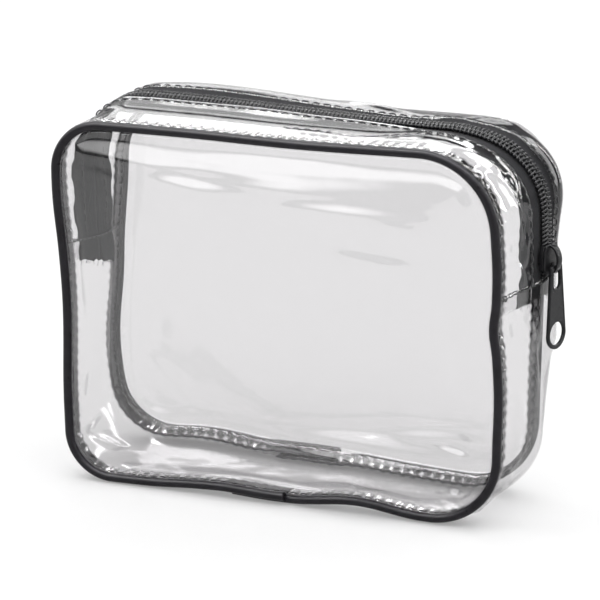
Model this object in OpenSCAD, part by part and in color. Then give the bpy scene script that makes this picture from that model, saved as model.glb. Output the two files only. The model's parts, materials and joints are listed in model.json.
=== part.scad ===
// Clear makeup bag: two flat panels, a gusset and two zip strips, piped seams and a coil zip.
// Millimetres, +Z up. The front panel faces -Y. The origin is the middle of the underside.

/* [Bag] */
// Width between the side bead centres
bag_w = 200; // [180:1:240]
// Height between the top and bottom bead centres
bag_h = 161; // [150:1:200]
// Depth between the front and rear bead centres
bag_d = 58; // [50:1:80]
// Corner radius of the bead centre line
corner_r = 30; // [26:1:36]
// Thickness of the clear sheet
sheet_t = 0.4; // [0.3:0.05:0.5]

/* [Bulge of the sides] */
// How far the right side stands out halfway between the seams
bulge_right = 9.8; // [8:0.2:11]
// How far the left side stands out halfway between the seams
bulge_left = 0.5; // [0:0.5:10]
// How far the top stands out near the right corner
bulge_top_right = 1.5; // [0:0.5:4]
// How far the top stands out near the left corner
bulge_top_left = 4.5; // [0:0.5:8]
// How much of the bulge's crest lies behind the middle, which turns the zip towards the front
lean_back = 0.75; // [0:0.05:0.8]

/* [Piping] */
// Radius of the bead
bead_r = 2; // [1.5:0.1:2.4]
// Radius of the cord inside the bead
core_r = 0.9; // [0.6:0.1:1.2]
// Width of the sewn flange behind the bead
flange_w = 7.5; // [6:0.5:9]
// Thickness of the flange
flange_t = 0.6; // [0.4:0.1:0.8]

/* [Zip] */
// Height of the cross seams where the zip ends
seam_z = 104; // [98:1:108]
// Width of each half of the tape
tape_w = 15; // [14:0.5:18]
// Thickness of the tape
tape_t = 0.6; // [0.5:0.1:0.7]
// Width of each half of the coil
coil_w = 3; // [2.8:0.1:3.2]
// Height of the coil above its tape
coil_h = 2.3; // [2:0.1:2.4]
// Distance from the zip's centre line to the free edge of each strip
strip_edge = 7.6; // [7:0.1:9]
// Length of tape and strip turned in below a cross seam
seam_lap = 8; // [6:0.5:9]

/* [Slider] */
// Length of the slider's body along the zip
slider_len = 13; // [12:0.5:13.5]
// Width of the slider's body
slider_w = 10.8; // [10.6:0.1:11.4]
// Height of the slider's middle when the zip is closed
slider_z = 114; // [113:0.5:115]
// Length of the pull tab below its pivot
pull_len = 36; // [32:1:38]
// Width of the pull tab at its top
pull_top_w = 8.4; // [8:0.1:8.8]
// Width of the pull tab at its round end
pull_end_w = 13.6; // [13:0.2:14]
// Radius of the hole in the pull tab
pull_hole_r = 5; // [4.5:0.1:5.2]

/* [Hidden] */

CLEAR = [0.88, 0.9, 0.92, 0.35];
BLACK = [0.09, 0.09, 0.1];
THREAD = [0.16, 0.16, 0.17];
CORD = [0.85, 0.84, 0.8];

$fn = 48;
gap = 0.1;                       // between sheets that lie on each other
seam_y = bag_d / 2;              // depth of each bead centre line
wall_u = bead_r;                 // how far the gusset's outside is from the bead centre line
wall_y = seam_y - bead_r - gap;  // where the gusset meets the bead
mid_z = bead_r + bag_h / 2;      // height of the loop's middle
side_x = bag_w / 2;
top_z = mid_z + bag_h / 2;
arc_x = side_x - corner_r;       // centre of the right corner arcs
arc_top = top_z - corner_r;
arc_low = bead_r + corner_r;
lap_drop = sheet_t + gap;        // the zip passes under the gusset below a cross seam
lap_run = 0.6;                   // height over which it does so
arc_step = 7.5;                  // angle between cross-sections in a corner
cells = 8;                       // cells across a gusset's or strip's cross-section
low_bulge = 0.45;                // share of a side's bulge left at the top of the low corner

// ---- the loop: [x, z, normal x, normal z, bulge] at each cross-section ----

function smooth(t) = let (c = min(1, max(0, t))) c * c * (3 - 2 * c);
function mix(a, b, t) = a + (b - a) * smooth(t);
function side_bulge(full, z) = full * (low_bulge + (1 - low_bulge) * (z - arc_low) / (seam_z - arc_low));

function right_at(z, b) = [side_x, z, 1, 0, b];
function left_at(z, b) = [-side_x, z, -1, 0, b];
function arc_at(cx, cz, a, b) = [cx + corner_r * cos(a), cz + corner_r * sin(a), cos(a), sin(a), b];
function top_bulge(x) = mix(bulge_top_left, bulge_top_right, (x + arc_x) / (2 * arc_x));

// Heights of the cross-sections on the vertical part of the zip, from its low end upwards
zip_heights = [seam_z - seam_lap, seam_z - lap_run, seam_z, seam_z + 8, seam_z + 18, arc_top];
function zip_side_bulge(full, z) = side_bulge(full, min(z, seam_z));
// Both paths run clockwise as seen from the front
zip_path = concat(
    [for (z = zip_heights) left_at(z, zip_side_bulge(bulge_left, z))],
    [for (a = [180 - arc_step:-arc_step:90])
        arc_at(-arc_x, arc_top, a, mix(bulge_top_left, bulge_left, (a - 90) / 90))],
    [for (i = [1:11]) let (x = arc_x * (i / 6 - 1)) [x, top_z, 0, 1, top_bulge(x)]],
    [for (a = [90:-arc_step:arc_step])
        arc_at(arc_x, arc_top, a, mix(bulge_right, bulge_top_right, (a - arc_step) / 75))],
    [for (i = [len(zip_heights) - 1:-1:0]) let (z = zip_heights[i])
        right_at(z, zip_side_bulge(bulge_right, z))]
);
// The same path between the two cross seams only
seam_to_seam = [for (i = [2:len(zip_path) - 3]) zip_path[i]];

base_top = seam_z - lap_run - gap;
base_heights = [for (i = [0:7]) base_top + (arc_low - base_top) * i / 7];
base_path = concat(
    [for (z = base_heights) right_at(z, side_bulge(bulge_right, z))],
    [for (a = [-arc_step:-arc_step:-90])
        arc_at(arc_x, arc_low, a, mix(low_bulge * bulge_right, 0, -a / 90))],
    [for (i = [1:3]) [arc_x * (1 - i / 2), bead_r, 0, -1, 0]],
    [for (a = [-90 - arc_step:-arc_step:-180])
        arc_at(-arc_x, arc_low, a, mix(0, low_bulge * bulge_left, (-a - 90) / 90))],
    [for (i = [len(base_heights) - 2:-1:0]) left_at(base_heights[i], side_bulge(bulge_left, base_heights[i]))]
);

$side = 1;                       // -1 while a rear piece is drawn as the mirror image of a front one
// Height of the outer surface above the bead centre line, at depth y on a cross-section
function skin_u(p, y) = wall_u + p[4] * (1 - pow(y / wall_y, 2)) * (1 + $side * lean_back * y / wall_y);
// How far the surface is turned at the zip's centre line
function turn_at(bulge) = atan($side * lean_back * bulge / wall_y);
// The zip's layers step inwards below the cross seams
function zip_drop(p) = p[1] < seam_z - lap_run / 2 ? lap_drop : 0;
function at(p, u, y) = [p[0] + p[2] * u, y, p[1] + p[3] * u];

// One closed cross-section: out along the upper surface, back along the lower one
function band(p, y0, y1, upper, lower, n) = concat(
    [for (i = [0:n]) let (y = y0 + (y1 - y0) * i / n) at(p, skin_u(p, y) + upper, y)],
    [for (i = [n:-1:0]) let (y = y0 + (y1 - y0) * i / n) at(p, skin_u(p, y) + lower, y)]
);

// Skins a list of cross-sections that each have 2 * (n + 1) points
module skinned(sections, n) {
    ring = 2 * (n + 1);
    last = (len(sections) - 1) * ring;
    polyhedron(
        points = [for (s = sections) each s],
        faces = concat(
            [for (k = [0:len(sections) - 2]) for (i = [0:ring - 1])
                let (a = k * ring + i, b = k * ring + (i + 1) % ring)
                each [[a, b, b + ring], [a, b + ring, a + ring]]],
            [for (i = [0:n - 1]) [i, ring - 1 - i, ring - 2 - i, i + 1]],
            [for (i = [0:n - 1]) [last + i, last + i + 1, last + ring - 2 - i, last + ring - 1 - i]]
        ),
        convexity = 6
    );
}

// A band along the zip, between two depths and two heights above the surface
module zip_band(path, y0, y1, upper, lower, n) {
    skinned([for (p = path) band(p, y0, y1, upper - zip_drop(p), lower - zip_drop(p), n)], n);
}

// ---- flat rings that follow the loop ----

// The loop's outline, u outside the bead centre line
module outline(u) {
    r = corner_r + u;
    square([2 * (side_x + u), 2 * (arc_top - mid_z)], center = true);
    square([2 * arc_x, bag_h + 2 * u], center = true);
    for (x = [-arc_x, arc_x], z = [arc_low - mid_z, arc_top - mid_z]) translate([x, z]) circle(r = r);
}

// A plate across the bag, from depth y0 to y1
module plate(u, y0, y1) {
    translate([0, y1, mid_z]) rotate([90, 0, 0]) linear_extrude(y1 - y0) outline(u);
}

// A wall that follows the loop, from u0 to u1
module wall(u0, u1, y0, y1) {
    difference() {
        plate(u1, y0, y1);
        plate(u0, y0 - 1, y1 + 1);
    }
}

// A round rod along the loop at depth y
module rod(r, y) {
    for (x = [-side_x, side_x]) translate([x, y, arc_low]) cylinder(r = r, h = arc_top - arc_low);
    for (z = [bead_r, top_z]) translate([-arc_x, y, z]) rotate([0, 90, 0]) cylinder(r = r, h = 2 * arc_x);
    corners = [[arc_x, arc_top, 0], [-arc_x, arc_top, 90], [-arc_x, arc_low, 180], [arc_x, arc_low, 270]];
    for (c = corners) translate([c[0], y, c[1]]) rotate([90, 0, 0]) rotate([0, 0, c[2]])
        rotate_extrude(angle = 90) translate([corner_r, 0]) circle(r = r);
}

// ---- the front half's pieces: the rear ones are their mirror images ----

flange_u = -0.2;                  // inside of the piping's flange
flange_y = flange_w + bead_r - seam_y;  // inner edge of the flange
stitch_y = flange_y - 3.4;        // line of stitches along the flange
thread_w = 0.5;

module panel() {
    color(CLEAR) plate(-bead_r - gap, -seam_y - sheet_t / 2, -seam_y + sheet_t / 2);
}

module piping() {
    color(BLACK) difference() {
        union() {
            rod(bead_r, -seam_y);
            wall(flange_u, flange_u + flange_t, -seam_y + core_r + gap, flange_y);
        }
        rod(core_r + gap / 2, -seam_y);
    }
}

module piping_core() {
    color(CORD) rod(core_r, -seam_y);
}

module seam_thread() {
    outer_u = flange_u - gap;
    color(THREAD) wall(outer_u - thread_w, outer_u, stitch_y, stitch_y + thread_w);
}

chain_gap = 0.7;                  // from the centre line to each tape's and coil's edge
tape_top = -sheet_t - gap;        // tape surface, measured from the strips' outer surface
coil_foot = tape_top + gap / 2;
coil_shell = 0.6;

module zip_strip() {
    color(CLEAR) zip_band(zip_path, -wall_y, -strip_edge, 0, -sheet_t, cells);
}

module zip_tape() {
    color(BLACK) zip_band(zip_path, -tape_w, -chain_gap, tape_top, tape_top - tape_t, cells);
}

// A cross-section in the chain's own turned axes: [across, above the tape's outer surface]
function chain_ring(p, shape) = [for (q = shape) let (
    a = turn_at(p[4]),
    y = q[0] * cos(a),
    crown_drop = (skin_u(p, y) - skin_u(p, 0)) * cos(a) - y * sin(a),
    h = q[1] + crown_drop
) at(p, skin_u(p, 0) + h * cos(a) + q[0] * sin(a), y - h * sin(a))];

module chain_piece(shape, n) {
    skinned([for (p = seam_to_seam) chain_ring(p, shape)], n);
}

coil_y0 = -chain_gap - coil_w;
coil_y1 = -chain_gap;
coil_top = coil_foot + coil_h;

// The coil's loops as a channel that is open towards the tape
module zip_coil() {
    color(BLACK) chain_piece([
        [coil_y0, coil_foot], [coil_y0, coil_top], [coil_y1, coil_top], [coil_y1, coil_foot],
        [coil_y1 - coil_shell, coil_foot], [coil_y1 - coil_shell, coil_top - coil_shell],
        [coil_y0 + coil_shell, coil_top - coil_shell], [coil_y0 + coil_shell, coil_foot],
    ], 3);
}

module coil_cord() {
    inset = coil_shell + gap;
    color(THREAD) chain_piece([
        [coil_y0 + inset, coil_top - inset], [coil_y1 - inset, coil_top - inset],
        [coil_y1 - inset, coil_foot + inset], [coil_y0 + inset, coil_foot + inset],
    ], 1);
}

module zip_thread() {
    y1 = -strip_edge - 0.8;
    color(THREAD) zip_band(seam_to_seam, y1 - thread_w, y1, gap / 2 + 0.35, gap / 2, 1);
}

// ---- pieces on both sides of the middle ----

module base_gusset() {
    color(CLEAR) skinned([for (p = base_path) band(p, -wall_y, wall_y, 0, -sheet_t, 2 * cells)], 2 * cells);
}

// Stitches across one side, just above the cross seam
module side_seam_thread(path) {
    color(THREAD) skinned(
        [for (p = path) band(p, 1 - wall_y, wall_y - 1, gap / 2 + 0.35, gap / 2, 2 * cells)],
        2 * cells
    );
}
thread_heights = [seam_z - lap_run, seam_z - lap_run + thread_w];

// ---- slider and pull tab, on the vertical part of the zip: drawn facing +X, then turned with the chain ----

chain_x = side_x + wall_u + bulge_right;     // outer surface at the centre line
tape_in = chain_x + tape_top - tape_t;
coil_out = chain_x + coil_top;
plate_t = 1.2;
slot = 0.45;                                 // clearance round the zip inside the slider
top_in = coil_out + slot;
top_out = top_in + plate_t;
crown = bulge_right * pow(slider_w / 2 / wall_y, 2);  // how far the tape drops at the slider's edges
back_out = tape_in - crown - slot;
lip_w = slider_w / 2 - chain_gap - coil_w - slot;
pivot_x = top_out + 1.9;
pivot_z = slider_z - 3.4;
bar_r = 0.9;
pull_t = 1.2;
bridge_w = 3.2;
bridge_t = 1.1;
bridge_top = pivot_x + bar_r + 0.4 + bridge_t;
bridge_low = slider_z - 6;
bridge_high = slider_z + 6;
window_w = 4.6;
window_len = 9.5;

// Turns its children with the chain
module turned() {
    translate([chain_x, 0, 0]) rotate([0, 0, -turn_at(bulge_right)]) translate([-chain_x, 0, 0]) children();
}

// Outline of the slider's plates, seen from outside: the two shoulders are at the nose
module slider_outline() {
    nose_r = 2.4;
    tail_w = slider_w - 2.4;
    polygon([
        [-slider_len / 2, -tail_w / 2], [-slider_len / 2, tail_w / 2],
        [-1, slider_w / 2], [slider_len / 2 - nose_r, slider_w / 2],
        [slider_len / 2, slider_w / 2 - nose_r], [slider_len / 2, nose_r - slider_w / 2],
        [slider_len / 2 - nose_r, -slider_w / 2], [-1, -slider_w / 2],
    ]);
}

// A slab of that outline, its nose downwards, from x0 to x1
module slider_slab(x0, x1) {
    translate([x0, 0, slider_z]) rotate([0, 90, 0]) linear_extrude(x1 - x0) slider_outline();
}

module slider_body() {
    post_w = 0.6;
    bite = 0.4;
    lip_in = chain_x + gap + 0.2;
    reach = bridge_top - bridge_t - top_out;
    color(BLACK) turned() {
        slider_slab(top_in, top_out);
        slider_slab(back_out - plate_t, back_out);
        intersection() {
            slider_slab(lip_in, top_in);
            for (s = [-1, 1]) translate([lip_in, s * (slider_w - lip_w) / 2, slider_z])
                translate([0, -lip_w / 2, -slider_len / 2]) cube([top_in - lip_in, lip_w, slider_len]);
        }
        // The post runs into both plates, so that the slider is one casting
        translate([back_out - bite, -post_w / 2, slider_z - slider_len / 2 + 1])
            cube([top_in - back_out + 2 * bite, post_w, 4.5]);
        for (z = [bridge_low, bridge_high - bridge_t])
            translate([top_out, -bridge_w / 2, z]) cube([reach, bridge_w, bridge_t]);
        translate([bridge_top - bridge_t, -bridge_w / 2, bridge_low])
            cube([bridge_t, bridge_w, bridge_high - bridge_low]);
    }
}

// The pull tab's plate, drawn from its pivot along the second axis
module pull_outline() {
    end_r = pull_end_w / 2;
    end_y = pull_len - end_r;
    top_r = pull_top_w / 2;
    // The straight edges are tangent to the round end
    lean = asin((end_r - top_r) / end_y);
    translate([0, end_y]) circle(r = end_r);
    polygon([
        [-top_r, 0], [top_r, 0],
        [end_r * cos(lean), end_y - end_r * sin(lean)], [-end_r * cos(lean), end_y - end_r * sin(lean)],
    ]);
    for (s = [-1, 1]) translate([s * (top_r - bar_r), 0]) circle(r = bar_r);
    translate([bar_r - top_r, -bar_r]) square([pull_top_w - 2 * bar_r, 2 * bar_r]);
}

// The window that the slider's bridge passes through
module pull_window() {
    end_r = window_w / 2;
    translate([-end_r, bar_r]) square([window_w, window_len - end_r - bar_r]);
    translate([0, window_len - end_r]) circle(r = end_r);
}

module pull_tab() {
    bar_len = pull_top_w - 2 * bar_r;
    color(BLACK) turned() translate([pivot_x, 0, pivot_z]) rotate([0, -90, 0]) rotate([0, 0, 90]) {
        translate([0, 0, -pull_t / 2]) linear_extrude(pull_t) difference() {
            pull_outline();
            translate([0, pull_len - pull_end_w / 2]) circle(r = pull_hole_r);
            pull_window();
        }
        translate([-bar_len / 2, 0, 0]) rotate([0, 90, 0]) cylinder(r = bar_r, h = bar_len);
    }
}

module rear() {
    $side = -1;
    mirror([0, 1, 0]) children();
}

panel();  // front_panel
rear() panel();  // rear_panel
base_gusset();
zip_strip();  // zip_strip_front
rear() zip_strip();  // zip_strip_rear
piping();  // front_piping
rear() piping();  // rear_piping
piping_core();  // front_piping_core
rear() piping_core();  // rear_piping_core
zip_tape();  // zip_tape_front
rear() zip_tape();  // zip_tape_rear
zip_coil();  // zip_coil_front
rear() zip_coil();  // zip_coil_rear
coil_cord();  // coil_cord_front
rear() coil_cord();  // coil_cord_rear
slider_body();
pull_tab();
seam_thread();  // front_seam_thread
rear() seam_thread();  // rear_seam_thread
zip_thread();  // zip_thread_front
rear() zip_thread();  // zip_thread_rear
side_seam_thread([for (i = [1:-1:0]) right_at(thread_heights[i], bulge_right)]);  // side_seam_thread_right
side_seam_thread([for (i = [0:1]) left_at(thread_heights[i], bulge_left)]);  // side_seam_thread_left
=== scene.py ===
import json
import math

import bmesh
import bpy
import numpy as np
from mathutils import Matrix, Vector


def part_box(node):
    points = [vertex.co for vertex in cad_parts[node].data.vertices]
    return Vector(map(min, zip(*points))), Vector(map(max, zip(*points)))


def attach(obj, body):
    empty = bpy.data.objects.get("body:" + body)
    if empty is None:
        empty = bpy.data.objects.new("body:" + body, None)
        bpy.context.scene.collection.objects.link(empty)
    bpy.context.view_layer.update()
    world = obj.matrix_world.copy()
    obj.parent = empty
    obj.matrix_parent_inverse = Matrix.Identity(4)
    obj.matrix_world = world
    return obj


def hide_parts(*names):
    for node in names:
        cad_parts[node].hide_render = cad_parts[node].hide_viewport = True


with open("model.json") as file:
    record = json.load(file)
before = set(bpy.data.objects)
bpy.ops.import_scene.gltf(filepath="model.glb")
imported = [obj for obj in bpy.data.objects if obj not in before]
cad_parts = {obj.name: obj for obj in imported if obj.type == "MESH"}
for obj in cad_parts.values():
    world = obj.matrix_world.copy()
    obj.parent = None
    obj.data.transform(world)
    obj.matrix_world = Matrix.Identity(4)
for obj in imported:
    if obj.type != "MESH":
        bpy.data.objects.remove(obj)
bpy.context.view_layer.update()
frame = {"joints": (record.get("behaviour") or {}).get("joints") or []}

# Lengths are in millimetres until a mesh is made. +X is towards the slider, -Y is the front, +Z is up.
MM = 0.001


def box_mm(node):
    low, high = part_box(node)
    return np.array(low) / MM, np.array(high) / MM


# ---- sizes taken from the frame ----
bead_low, bead_high = box_mm("front_piping")
panel_low, panel_high = box_mm("front_panel")
gusset_high = box_mm("base_gusset")[1]
strip_high = box_mm("zip_strip_front")[1]
tape_low = box_mm("zip_tape_front")[0]
coil_low = box_mm("zip_coil_front")[0]
slider_low, slider_high = box_mm("slider_body")
pull_low = box_mm("pull_tab")[0]
SEAM_Y = -(panel_low[1] + panel_high[1]) / 2      # depth of each bead's centre line
BEAD_R = -bead_low[1] - SEAM_Y
SIDE_X = bead_high[0] - BEAD_R
TOP_Z = bead_high[2] - BEAD_R
LOW_Z = bead_low[2] + BEAD_R
FLANGE_IN = bead_high[1] + SEAM_Y                 # how far the flange reaches in from the bead's centre
WALL_Y = gusset_high[1]                           # depth of the gusset's edge
SEAM_Z = coil_low[2]                              # height of the cross seams
TAPE_END_Z = tape_low[2]
STRIP_EDGE = -strip_high[1]                       # free edge of each strip, from the zip's centre line
TAPE_EDGE = -tape_low[1]
hinge = next(j for j in frame["joints"] if j["name"] == "pull_swing")
PIVOT = np.array(hinge["pos_m"]) / MM
TURN = math.atan2(-hinge["axis"][0], -hinge["axis"][1])  # how far the slider faces forwards

# ---- sizes chosen here ----
SHEET_T = 0.4
TAPE_T = 0.6
CORNER_R = 30.0
BULGE_RIGHT = 9.8                                 # how far each side stands out halfway between the seams
BULGE_LEFT = -4.5
BULGE_TOP_RIGHT = 1.5
BULGE_TOP_LEFT = 4.5
LEAN_BACK = 0.75                                  # how much of the bulge's crest lies behind the middle
CHAIN_GAP = 0.7
COIL_W = 3.0
PIVOT_OUT = 5.4                                   # from the strips' outer surface to the pull tab's pivot
SLIDER_W = 10.8
PULL_TOP_W = 8.4
PULL_END_W = 13.6
PULL_HOLE_R = 5.0
STITCH_PITCH = 5.0
THREAD_R = 0.32
COIL_PITCH = 1.8
STRAND_R = 0.56
STRIP_LIFT = -SHEET_T / 2                          # middles of the zip's layers, from the outer surface
TAPE_LIFT = STRIP_LIFT - 0.3 - TAPE_T / 2
CHAIN_X = SIDE_X + BEAD_R + BULGE_RIGHT           # outer surface of the strips' layer at the slider
ARC_LOW = LOW_Z + CORNER_R
ARC_TOP = TOP_Z - CORNER_R

rng = np.random.default_rng(7)


# ---- small helpers ----
def smooth(t):
    t = np.clip(t, 0, 1)
    return t * t * (3 - 2 * t)


def hump(distance, half_width):
    """1 at the middle, falling smoothly to 0 at half_width."""
    return np.where(np.abs(distance) < half_width, 0.5 + 0.5 * np.cos(np.pi * distance / half_width), 0.0)


def unit(v):
    return v / np.maximum(np.linalg.norm(v, axis=-1, keepdims=True), 1e-9)


def lengths_along(points):
    return np.concatenate([[0], np.cumsum(np.linalg.norm(np.diff(points, axis=0), axis=1))])


def at_lengths(want, along, points):
    """Values at the wanted distances of a line whose points lie at the distances in along."""
    return np.stack([np.interp(want, along, points[:, k]) for k in range(3)], axis=-1)


def round_loop(distance, total):
    """A distance along a closed loop, taken the short way round."""
    return (distance + total / 2) % total - total / 2


# ---- meshes ----
def grid_faces(rows, cols, closed=False):
    """Quads over rows x cols points. closed joins the last column to the first."""
    r = np.arange(rows - 1)[:, None]
    c = np.arange(cols if closed else cols - 1)[None, :]
    a = r * cols + c
    b = r * cols + (c + 1) % cols
    return np.stack([a, b, b + cols, a + cols], axis=-1).reshape(-1, 4)


def vertex_normals(verts, faces):
    corner = verts[faces]
    face_n = np.cross(corner[:, 2] - corner[:, 0], corner[:, 3] - corner[:, 1])
    total = np.zeros_like(verts)
    for k in range(4):
        np.add.at(total, faces[:, k], face_n)
    return unit(total)


def shell(verts, faces, thickness):
    """A closed sheet of that thickness around a surface of quads."""
    n = vertex_normals(verts, faces) * thickness / 2
    count = len(verts)
    edges = np.concatenate([faces[:, [k, (k + 1) % 4]] for k in range(4)])
    forward = edges[:, 0] * count + edges[:, 1]
    backward = edges[:, 1] * count + edges[:, 0]
    rim = edges[~np.isin(forward, backward)]
    sides = np.stack([rim[:, 1], rim[:, 0], rim[:, 0] + count, rim[:, 1] + count], axis=1)
    return np.concatenate([verts + n, verts - n]), np.concatenate([faces, faces[:, ::-1] + count, sides])


def joined(parts):
    """One mesh out of several (verts, faces) pairs."""
    verts, faces, start = [], [], 0
    for v, f in parts:
        verts.append(v)
        faces += [[start + i for i in face] for face in (f.tolist() if isinstance(f, np.ndarray) else f)]
        start += len(v)
    return np.concatenate(verts), faces


def linked(name, data):
    """A new object in the scene."""
    obj = bpy.data.objects.new(name, data)
    bpy.context.collection.objects.link(obj)
    return obj


def placed(name, mesh, nodes, body):
    """An object that rides on a body and stands for CAD nodes."""
    obj = linked(name, mesh)
    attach(obj, body)
    if nodes:
        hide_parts(*nodes)
    return obj


def piece(name, verts, faces, material, slot, nodes=(), body="bag", uv=None):
    """A smooth mesh piece from points in millimetres."""
    mesh = bpy.data.meshes.new(name)
    faces = faces if isinstance(faces, list) else faces.tolist()
    mesh.from_pydata((np.asarray(verts) * MM).tolist(), [], faces)
    mesh.polygons.foreach_set("use_smooth", np.ones(len(mesh.polygons), bool))
    if uv is not None:
        corners = np.zeros(len(mesh.loops), int)
        mesh.loops.foreach_get("vertex_index", corners)
        mesh.uv_layers.new(name="UVMap").data.foreach_set("uv", (np.asarray(uv)[corners] * MM).ravel())
    mesh.materials.append(material)
    mesh.update()
    return placed(name, mesh, nodes, body)


def sweep(points, profile, across, up):
    """Sweeps a closed profile of (across, up) pairs along points, with the given side vectors."""
    rings = points[:, None] + across[:, None] * profile[None, :, :1] + up[:, None] * profile[None, :, 1:]
    rows, cols = rings.shape[:2]
    faces = grid_faces(rows, cols, closed=True).tolist()
    faces.append(list(range(cols))[::-1])
    faces.append(list(range((rows - 1) * cols, rows * cols)))
    return rings.reshape(-1, 3), faces


def circle(radius, sides):
    a = np.arange(sides) * 2 * np.pi / sides
    return np.stack([radius * np.cos(a), radius * np.sin(a)], axis=1)


def tube(points, radius, sides=8, up=(0.31, 0.52, 0.79)):
    """A round strand along points. radius is one number, or one for each point."""
    tangent = unit(np.gradient(points, axis=0))
    side = np.zeros_like(points)
    last = unit(np.cross(tangent[0], np.array(up)))
    for i, t in enumerate(tangent):
        last = unit(last - t * (last @ t))
        side[i] = last
    scale = np.broadcast_to(np.asarray(radius, float), (len(points),))[:, None]
    return sweep(points, circle(1, sides), side * scale, np.cross(tangent, side) * scale)


# ---- the two seam loops, counter-clockwise from the middle of the bottom, seen from the front ----
HALF, CORNER, SIDE, TOP = 72, 48, 104, 144        # stations in half the bottom, a corner, a side, the top
STATIONS = 2 * HALF + 4 * CORNER + 2 * SIDE + TOP


def rounded_loop(top_left, top_right, low_right, low_left):
    """Points (x, z) of a rounded rectangle with those corner radii."""
    def run(a, b, count):
        t = np.arange(count)[:, None] / count
        return np.array(a) * (1 - t) + np.array(b) * t

    def arc(cx, cz, radius, start):
        a = np.radians(start + 90 * np.arange(CORNER) / CORNER)
        return np.stack([cx + radius * np.cos(a), cz + radius * np.sin(a)], axis=1)

    x, low, top = SIDE_X, LOW_Z, TOP_Z
    return np.concatenate([
        run((0, low), (x - low_right, low), HALF),
        arc(x - low_right, low + low_right, low_right, -90),
        run((x, low + low_right), (x, top - top_right), SIDE),
        arc(x - top_right, top - top_right, top_right, 0),
        run((x - top_right, top), (top_left - x, top), TOP),
        arc(top_left - x, top - top_left, top_left, 90),
        run((-x, top - top_left), (-x, low + low_left), SIDE),
        arc(low_left - x, low + low_left, low_left, 180),
        run((low_left - x, low), (0, low), HALF),
    ])


def around(points):
    """Outward normals of a closed loop of (x, z) points, and the distance along it."""
    ahead = np.roll(points, -1, axis=0) - np.roll(points, 1, axis=0)
    normal = unit(np.stack([ahead[:, 1], -ahead[:, 0]], axis=1))
    step = np.linalg.norm(np.roll(points, -1, axis=0) - points, axis=1)
    return normal, np.concatenate([[0], np.cumsum(step)[:-1]]), step.sum()


class Seam:
    """One bead's centre line. Its waves are (x, z, half length, shift outwards, shift in depth)."""

    def __init__(self, radii, depth, waves):
        flat = rounded_loop(*radii)
        normal, along, total = around(flat)
        shift, y = np.zeros(len(flat)), np.full(len(flat), float(depth))
        for x, z, half, outwards, deeper in waves:
            start = along[np.argmin(np.hypot(flat[:, 0] - x, flat[:, 1] - z))]
            near = hump(round_loop(along - start, total), half)
            shift += outwards * near
            y += deeper * near
        flat = flat + normal * shift[:, None]
        normal, self.along, self.total = around(flat)
        self.centre = np.stack([flat[:, 0], y, flat[:, 1]], axis=1)
        self.normal = np.stack([normal[:, 0], np.zeros(len(flat)), normal[:, 1]], axis=1)
        self.centre[:, 2] = np.maximum(self.centre[:, 2], LOW_Z)
        self.inwards = np.array([0, -np.sign(depth), 0])

    def at(self, inwards, outwards):
        """Points so far in from the bead towards the bag's middle, and so far out from its centre line."""
        inwards = np.broadcast_to(np.asarray(inwards, float), (len(self.centre),))
        outwards = np.broadcast_to(np.asarray(outwards, float), (len(self.centre),))
        return self.centre + self.inwards * inwards[:, None] + self.normal * outwards[:, None]


front_seam = Seam((21, 33, 31, 20), -SEAM_Y, [
    (0, LOW_Z, 110, -1.1, 0), (36, LOW_Z, 30, -2.7, 0), (-33, LOW_Z, 32, -1.3, 0),
    (-SIDE_X, 82, 48, -1.6, 0), (-SIDE_X, 135, 30, 1.0, 0), (14, TOP_Z, 60, -0.8, 0),
    (SIDE_X, 60, 30, 1.0, 0), (SIDE_X, 89, 12, -0.9, 0), (SIDE_X, 113, 24, 0.8, 0),
])
rear_seam = Seam((30, 27, 31, 26), SEAM_Y, [
    (SIDE_X, 128, 30, -1.2, 0),
    (-SIDE_X, 140, 60, -4.4, 0), (-SIDE_X, 46, 42, 3.6, 0), (95, 10, 110, -0.3, -8.5),
    (-62, LOW_Z, 45, -2.6, 4), (-8, LOW_Z, 60, -1.1, 0),
])

# The zip's and gusset's centre line, halfway between the seams
flat_middle = rounded_loop(CORNER_R, CORNER_R, CORNER_R, CORNER_R)
middle_normal, middle_along, middle_total = around(flat_middle)


def middle_bulge():
    """How far the centre line stands out from the seams at each station."""
    x, z = flat_middle.T
    low_share = 0.45
    right = BULGE_RIGHT * (low_share + (1 - low_share) * np.clip((z - ARC_LOW) / (SEAM_Z - ARC_LOW), 0, 1))
    angle = np.degrees(np.arctan2(middle_normal[:, 1], middle_normal[:, 0]))
    share = smooth((x + SIDE_X - CORNER_R) / (2 * (SIDE_X - CORNER_R)))
    top = BULGE_TOP_LEFT + (BULGE_TOP_RIGHT - BULGE_TOP_LEFT) * share
    on_right = x > SIDE_X - CORNER_R + 1e-6
    on_left = x < CORNER_R - SIDE_X - 1e-6
    bulge = np.where(z > TOP_Z / 2, top, 0.0)
    corner_up = BULGE_RIGHT + (BULGE_TOP_RIGHT - BULGE_RIGHT) * smooth((angle - 7.5) / 75)
    corner_down = low_share * BULGE_RIGHT * (1 - smooth(-angle / 90))
    bulge = np.where(on_right & (z > ARC_TOP), corner_up, bulge)
    bulge = np.where(on_right & (z <= ARC_TOP), right, bulge)
    bulge = np.where(on_right & (z < ARC_LOW), corner_down, bulge)
    left_up = BULGE_TOP_LEFT + (BULGE_LEFT - BULGE_TOP_LEFT) * smooth((angle - 90) / 90)
    bulge = np.where(on_left & (z > ARC_TOP), left_up, bulge)
    bulge = np.where(on_left & (z <= ARC_TOP), BULGE_LEFT * smooth((z - LOW_Z) / 90), bulge)
    return bulge


bulge = middle_bulge()
middle_out = np.stack([middle_normal[:, 0], np.zeros(STATIONS), middle_normal[:, 1]], axis=1)
middle = np.stack([flat_middle[:, 0], np.zeros(STATIONS), flat_middle[:, 1]], axis=1)
middle = middle + middle_out * (BEAD_R + bulge)[:, None]

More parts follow.
